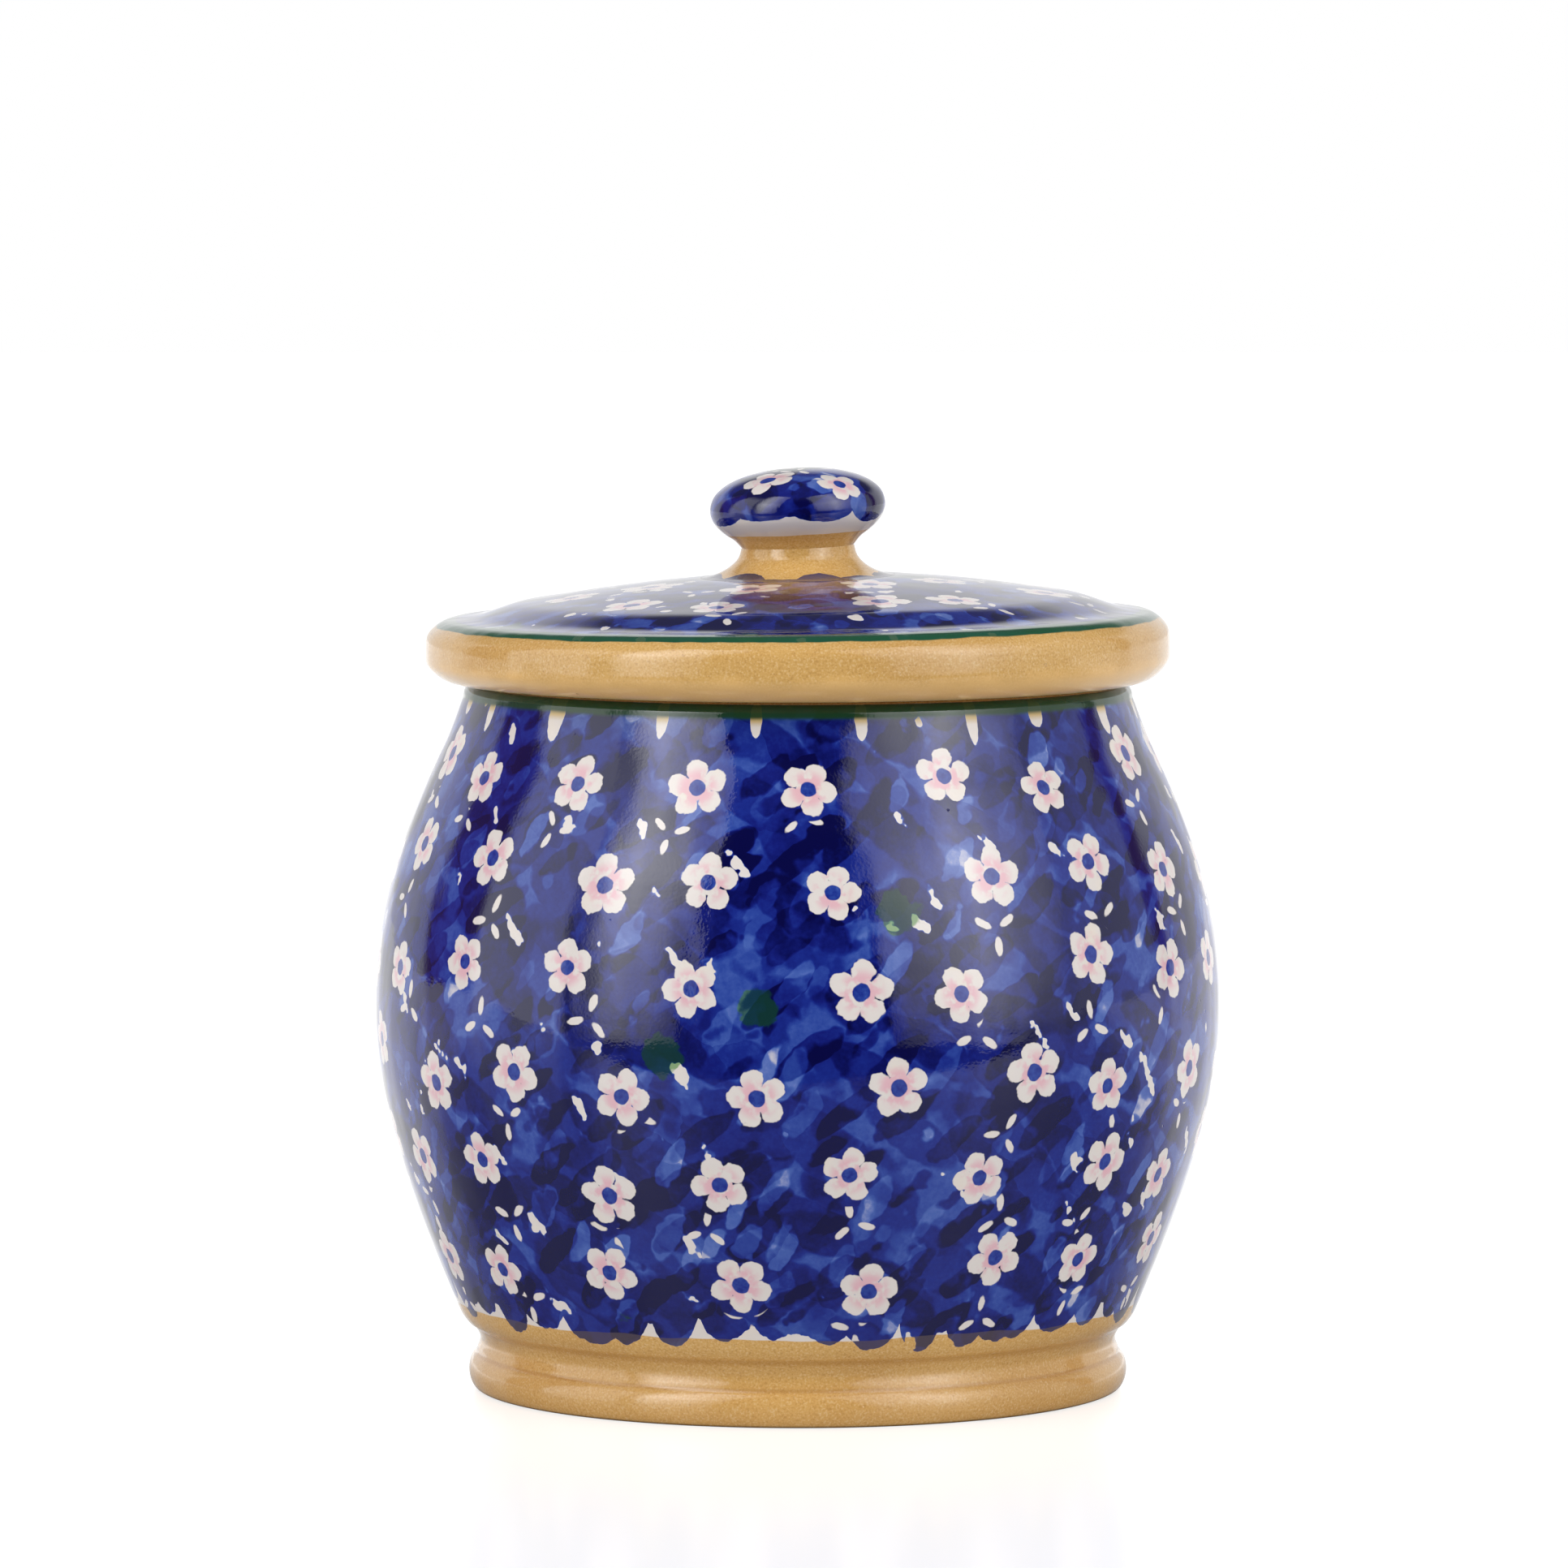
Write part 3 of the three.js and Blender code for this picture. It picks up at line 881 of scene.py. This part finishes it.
def lid_glaze(outline):
    """Bare clay underneath, on the rim and round the knob, a green line on the shoulder, sponged on top."""
    glaze = Glaze("lid_glaze")
    rim = outline.widest()
    rim_radius = outline.points[rim].x
    knob_radius = section("lid_knob")[1].x

    def inward(radius):
        return outline.after(rim, lambda spot: radius - spot.x)

    line_outer = inward(rim_radius - LID_LINE_INSET)
    line_inner = inward(rim_radius - LID_LINE_INSET - LID_LINE_WIDTH)
    knob_edge = inward(knob_radius + CLAY_ROUND_KNOB)
    uneven = glaze.noise(LID_UNEVEN, seed=25) - 0.5
    wander = glaze.along + uneven
    line = glaze.edge(wander, line_outer, LID_LINE_EDGE)
    line = line * glaze.step(wander, line_inner + LID_LINE_EDGE, line_inner)
    off_knob = glaze.edge(glaze.along + uneven * KNOB_RING_WANDER, knob_edge, -KNOB_RING_EDGE)
    reach = glaze.step(wander, line_outer, line_outer + LID_SLIP_EDGE)
    slipped = reach * off_knob
    # Painted light: the clay low on the rim is paler and warmer, standing in for light thrown up from the
    # floor
    painted_start, painted_full = (outline.along[rim] - length for length in PAINTED_LIGHT_BELOW_RIM)
    low_on_rim = glaze.step(glaze.along + uneven * PAINTED_LIGHT_WANDER, painted_start, painted_full)
    lit_clay = glaze.mix(low_on_rim * PAINTED_LIGHT_SHARE, clay(glaze), CLAY_PAINTED_LIGHT)
    colour = glaze.mix(slipped, lit_clay, slip(glaze))
    depth = sponged(glaze, reach)
    colour = cobalt(glaze, depth, colour, slipped)
    colour = green_dabs(glaze, colour, depth, reach)
    half = LID_PITCH / 2
    for index, (radius, count, seed) in enumerate(LID_RINGS):
        first = inward(radius) - half
        here = slipped * glaze.within(first, first + LID_PITCH)
        outermost = first + (half if index else -half)  # the outer ring has the sprigs between the rings
        near = slipped * glaze.within(outermost, first + LID_PITCH * 1.5)
        colour = stamped(glaze, colour, here, near, first, LID_PITCH, lambda row: count, seed)
    colour = glaze.mix(line * LID_LINE_SHARE, colour, GREEN_LINE)
    sandy = 1 - slipped
    calm_length, calm_share = LID_CALM
    calm = glaze.step(glaze.along, line_inner + calm_length, line_inner) * (1 - calm_share) + calm_share
    return glaze.finish(colour, gloss(glaze, sandy), relief(glaze, sandy, calm))


def knob_glaze(outline):
    """Bare clay at the neck, slip under the head and sponged blue on it, with blossoms on its shoulder."""
    glaze = Glaze("knob_glaze")
    points = outline.points
    head = outline.swell_before(len(points) - 1)
    neck = outline.dip_before(head)
    foot = max(range(neck), key=lambda index: points[index].x)
    slip_edge = outline.after(neck, lambda spot: spot.x - points[head].x + KNOB_SLIP_INSET)
    uneven = glaze.noise(KNOB_UNEVEN, seed=26) - 0.5
    slipped = glaze.edge(glaze.along + uneven * KNOB_SLIP_WANDER, slip_edge)
    on_head = hanging(glaze, outline.along[head] - glaze.along, *KNOB_FRINGE)
    on_flare = hanging(glaze, glaze.along - outline.along[foot], *FLARE_FRINGE)
    colour = glaze.mix(slipped, clay(glaze), slip(glaze))
    depth = sponged(glaze, on_head.act("MAXIMUM", on_flare), slits=0)
    colour = cobalt(glaze, depth, colour, slipped)
    first = outline.along[head]
    above = glaze.step(glaze.along, first, first + CUT)
    dark_crown = glaze.edge(glaze.radius + uneven * CROWN_WANDER, CROWN_DAB, -CROWN_EDGE) * above
    colour = glaze.mix(dark_crown * CROWN_SHARE, colour, GREEN_DARK)
    sprig_row = first + KNOB_PITCH / 2
    higher = glaze.step(glaze.along, sprig_row, sprig_row + CUT)
    layout = (first, KNOB_PITCH, lambda row: KNOB_COLUMNS, KNOB_SEED, KNOB_SCALE)
    colour = stamped(glaze, colour, above, higher, *layout)
    sandy = 1 - slipped
    return glaze.finish(colour, gloss(glaze, sandy), relief(glaze, sandy))


# The three pieces


def thrown(place, reach):
    """Outward unevenness of a thrown wall in millimetres."""
    return sum(noise.noise(place / size + start) * depth for size, depth, start in THROWN) * reach


def outward(place):
    level = Vector((place.x, place.y, 0))
    return level.normalized() if level.length > TOUCH else level


def make_jar():
    outline = Outline("jar_body", JAR_STEP)
    groove = outline.points[outline.dip_before(outline.widest())].y
    top = outline.top()
    lip = outline.below_top(LIP_DEPTH)

    def unevenness(place, along):
        if along > lip:
            return Vector((0, 0, 0))
        push = thrown(place, ease(place.z, *JAR_THROWN_FROM) * ease(top - place.z, *JAR_THROWN_TO))
        for line, cut, below, above in FOOT_LINES:
            away = place.z - groove - line
            away /= below if away < 0 else above
            push -= cut * math.exp(-away * away)
        return outward(place) * push + Vector((0, 0, max(0, -place.z)))

    return turned("jar", outline, JAR_FACETS, unevenness, jar_glaze(outline))


def make_lid():
    outline = Outline("lid", LID_STEP)
    rim = outline.points[outline.widest()]
    seat = max(spot.y for spot in section("jar_body"))
    top = outline.points[-1].y

    def unevenness(place, along):
        lean = math.tan(RIM_LEAN) * ease(place.z, seat - LEAN_BELOW_SEAT, rim.y)
        lean += (math.tan(DOME_LEAN) - math.tan(RIM_LEAN)) * ease(place.z, rim.y, top - LEAN_BELOW_TOP)
        above = ease(place.z, rim.y - LID_THROWN_FROM, rim.y) * ease(top - place.z, *LID_THROWN_TO)
        swell = outward(place) * LID_THROWN_OUT + Vector((0, 0, LID_THROWN_UP))
        swell *= thrown(place, above)
        inset = rim.x - math.hypot(place.x, place.y)
        for middle, rise, reach in LID_WAVES:
            away = (inset - middle) / reach
            swell.z += rise * math.exp(-away * away) * ease(place.z, rim.y, rim.y + LID_WAVES_FROM)
        for height, push, reach in RIM_SIDES:
            away = (place.z - rim.y - height) / reach
            swell += outward(place) * push * math.exp(-away * away) * (1 - ease(inset, *RIM_DEPTH))
        return Vector((0, 0, place.x * lean)) + swell

    return turned("lid_plate", outline, LID_FACETS, unevenness, lid_glaze(outline))


def make_knob():
    outline = Outline("lid_knob", KNOB_STEP)
    foot = outline.points[0].y
    crown = outline.points[-1].y
    corner, edge = section("lid_knob")[1:3]
    start, full = (foot + height for height in KNOB_LEAN_FROM)

    def unevenness(place, along):
        lean = math.tan(DOME_LEAN)
        lean += (math.tan(KNOB_LEAN) - math.tan(DOME_LEAN)) * ease(place.z, start, full)
        sunk = (edge.y - corner.y) * ease(place.xy.length, corner.x - KNOB_SKIRT, corner.x)
        sunk *= ease(place.z, corner.y, edge.y)
        swell = outward(place) * thrown(place, ease(place.z, start, crown))
        return Vector((0, 0, place.x * lean - sunk)) + swell

    return turned("knob", outline, KNOB_FACETS, unevenness, knob_glaze(outline))


jar = make_jar()
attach(jar, "jar")
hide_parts("jar_body")

lid = make_lid()
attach(lid, "lid")
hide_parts("lid")

knob = make_knob()
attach(knob, "lid")
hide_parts("lid_knob")


# Floor, light and camera, in metres

FLOOR_SIDE = 6.0
FLOOR_FRONT = 0.32  # the table's edge in front of the jar
FLOOR_GREY = 0.8
FLOOR_SEEN = 0.33  # the same as the camera sees it
FLOOR_SHEEN = 0.3  # and as glossy surfaces do
FLOOR_GLOW = 0.715  # share of white that the camera sees on the floor before light and reflections
FLOOR_ROUGHNESS = 0.2
FLOOR_SPECULAR = 0.35
FLOOR_FAR = (-0.05, 0.15)  # behind this, glossy surfaces see that white too
CAMERA_REACH = 50
SOFTBOX_DISTANCE = 1.25
SOFTBOX_TILT = math.radians(20)  # the tops lean over the jar
SOFTBOX_BOTTOM = -0.1
SOFTBOX_HEIGHT = 2.3
CEILING = 0.12
WALL_TOP = (0.62, 0.85)  # upward part of the direction where the room's sides start and end to fade
BACKDROP_TOP = (0.27, 0.54)  # and where the backdrop does
BACKDROP_SIDE = (121, 129)  # degrees from the camera's side where the backdrop starts

# Softboxes: degrees right of the camera, width, radiance, and brightness from the inner edge to the outer
# and from the bottom to the top
LEFT_BOX = (
    -45.5,
    0.9,
    6.4,
    ((0, 0.25), (0.18, 0.42), (0.35, 0.72), (0.6, 1), (0.76, 0.77), (0.93, 0.15), (1, 0)),
    ((0, 0.2), (0.1, 0.4), (0.24, 0.6), (0.34, 0.75), (0.44, 1), (0.54, 0.78), (0.95, 0.55), (1, 0)),
)
RIGHT_BOX = (
    50,
    1.6,
    5.0,
    ((0, 0), (0.1, 0.4), (0.35, 0.62), (0.52, 1), (0.7, 0.57), (1, 0.06)),
    ((0, 0.18), (0.1, 0.5), (0.24, 0.74), (0.34, 0.86), (0.44, 1), (0.54, 0.78), (0.95, 0.55), (1, 0)),
)

# Colours of the room by the direction, in degrees right of the camera
DIM = (0.2, 0.1, 0.16, 1.0)
ROOM = (
    (-180, grey(1.0)), (-130, grey(1.0)), (-123, DIM), (-103, DIM), (-98, grey(1.7)), (-69, grey(1.7)),
    (-64, grey(0.2)), (-20, grey(0.03)), (20, grey(0.03)), (70, grey(0.1)), (82, grey(0.8)),
    (114, grey(0.65)), (117, DIM), (124, DIM), (129, grey(1.0)), (180, grey(1.0)),
)


def make_floor():
    mesh = bpy.data.meshes.new("floor")
    side, near = FLOOR_SIDE, -FLOOR_FRONT
    corners = [(-side, near, 0), (side, near, 0), (side, side, 0), (-side, side, 0)]
    mesh.from_pydata(corners, [], [(0, 1, 2, 3)])
    floor = placed("floor", mesh)

    material = bpy.data.materials.new("floor_white")
    material.use_nodes = True
    graph = Graph(material.node_tree)
    shader = graph.tree.nodes["Principled BSDF"]
    seen, turned_ray = graph.paths()
    depth = graph.split(graph.node("ShaderNodeTexCoord").outputs["Object"])[1]
    white = seen.act("MAXIMUM", turned_ray * graph.step(depth, *FLOOR_FAR))
    shade = FLOOR_GREY - seen * (FLOOR_GREY - FLOOR_SEEN) - turned_ray * (FLOOR_GREY - FLOOR_SHEEN)
    graph.plug(shader, {"Base Color": shade, "Roughness": FLOOR_ROUGHNESS})
    graph.plug(shader, {"Emission Color": grey(1), "Emission Strength": white * FLOOR_GLOW})
    graph.plug(shader, {"Specular IOR Level": FLOOR_SPECULAR})
    mesh.materials.append(material)


def make_world():
    world = bpy.data.worlds.new("studio")
    world.use_nodes = True
    bpy.context.scene.world = world
    graph = Graph(world.node_tree)
    x, y, z = graph.split(graph.node("ShaderNodeTexCoord").outputs["Generated"])
    angle = x.act("ARCTAN2", y * -1) * (180 / math.pi)
    walls = graph.ramp(angle / 360 + 0.5, [(degrees / 360 + 0.5, colour) for degrees, colour in ROOM])
    behind = graph.step(angle.act("ABSOLUTE"), *BACKDROP_SIDE)
    fades = [behind * (back - side) + side for back, side in zip(BACKDROP_TOP, WALL_TOP)]
    high = graph.step(z, *fades)
    room = graph.mix(high, walls, grey(CEILING))
    seen, turned_ray = graph.paths()
    white = seen.act("MAXIMUM", turned_ray * behind * (1 - high))
    graph.feed(graph.mix(white, room, grey(1)), graph.tree.nodes["Background"].inputs["Color"])


def make_softbox(name, degrees, width, radiance, across_stops, rise_stops):
    azimuth = math.radians(degrees)
    lamp = bpy.data.lights.new(name, "AREA")
    lamp.shape = "RECTANGLE"
    lamp.size = width
    lamp.size_y = SOFTBOX_HEIGHT
    lamp.energy = radiance * math.pi * width * SOFTBOX_HEIGHT
    lamp.use_nodes = True
    graph = Graph(lamp.node_tree)
    across, up, _ = graph.split(graph.node("ShaderNodeNewGeometry").outputs["Parametric"])
    outwards = across if azimuth > 0 else 1 - across
    level = graph.curve(outwards, across_stops) * graph.curve(up, rise_stops)
    graph.feed(level, graph.tree.nodes["Emission"].inputs["Strength"])
    box = placed(name, lamp)
    box.location = (
        SOFTBOX_DISTANCE * math.sin(azimuth),
        -SOFTBOX_DISTANCE * math.cos(azimuth),
        SOFTBOX_BOTTOM + SOFTBOX_HEIGHT / 2 * math.cos(SOFTBOX_TILT),
    )
    box.rotation_euler = (math.pi / 2 - SOFTBOX_TILT, 0, azimuth)


def make_camera():
    scale = CAMERA_DISTANCE / FOCAL_PIXELS
    data = bpy.data.cameras.new("camera")
    data.sensor_width = SENSOR_WIDTH
    data.lens = FOCAL_PIXELS / IMAGE_PIXELS * SENSOR_WIDTH
    data.clip_end = CAMERA_REACH
    camera = placed("camera", data)
    sideways = (IMAGE_PIXELS / 2 - AXIS_COLUMN) * scale
    camera.location = Vector((sideways, -CAMERA_DISTANCE, CAMERA_HEIGHT)) * MM
    camera.rotation_euler = (math.radians(90 - CAMERA_PITCH), 0, 0)
    bpy.context.scene.camera = camera


make_floor()
make_world()
make_softbox("softbox_left", *LEFT_BOX)
make_softbox("softbox_right", *RIGHT_BOX)
make_camera()
bpy.context.scene.view_settings.view_transform = "Standard"
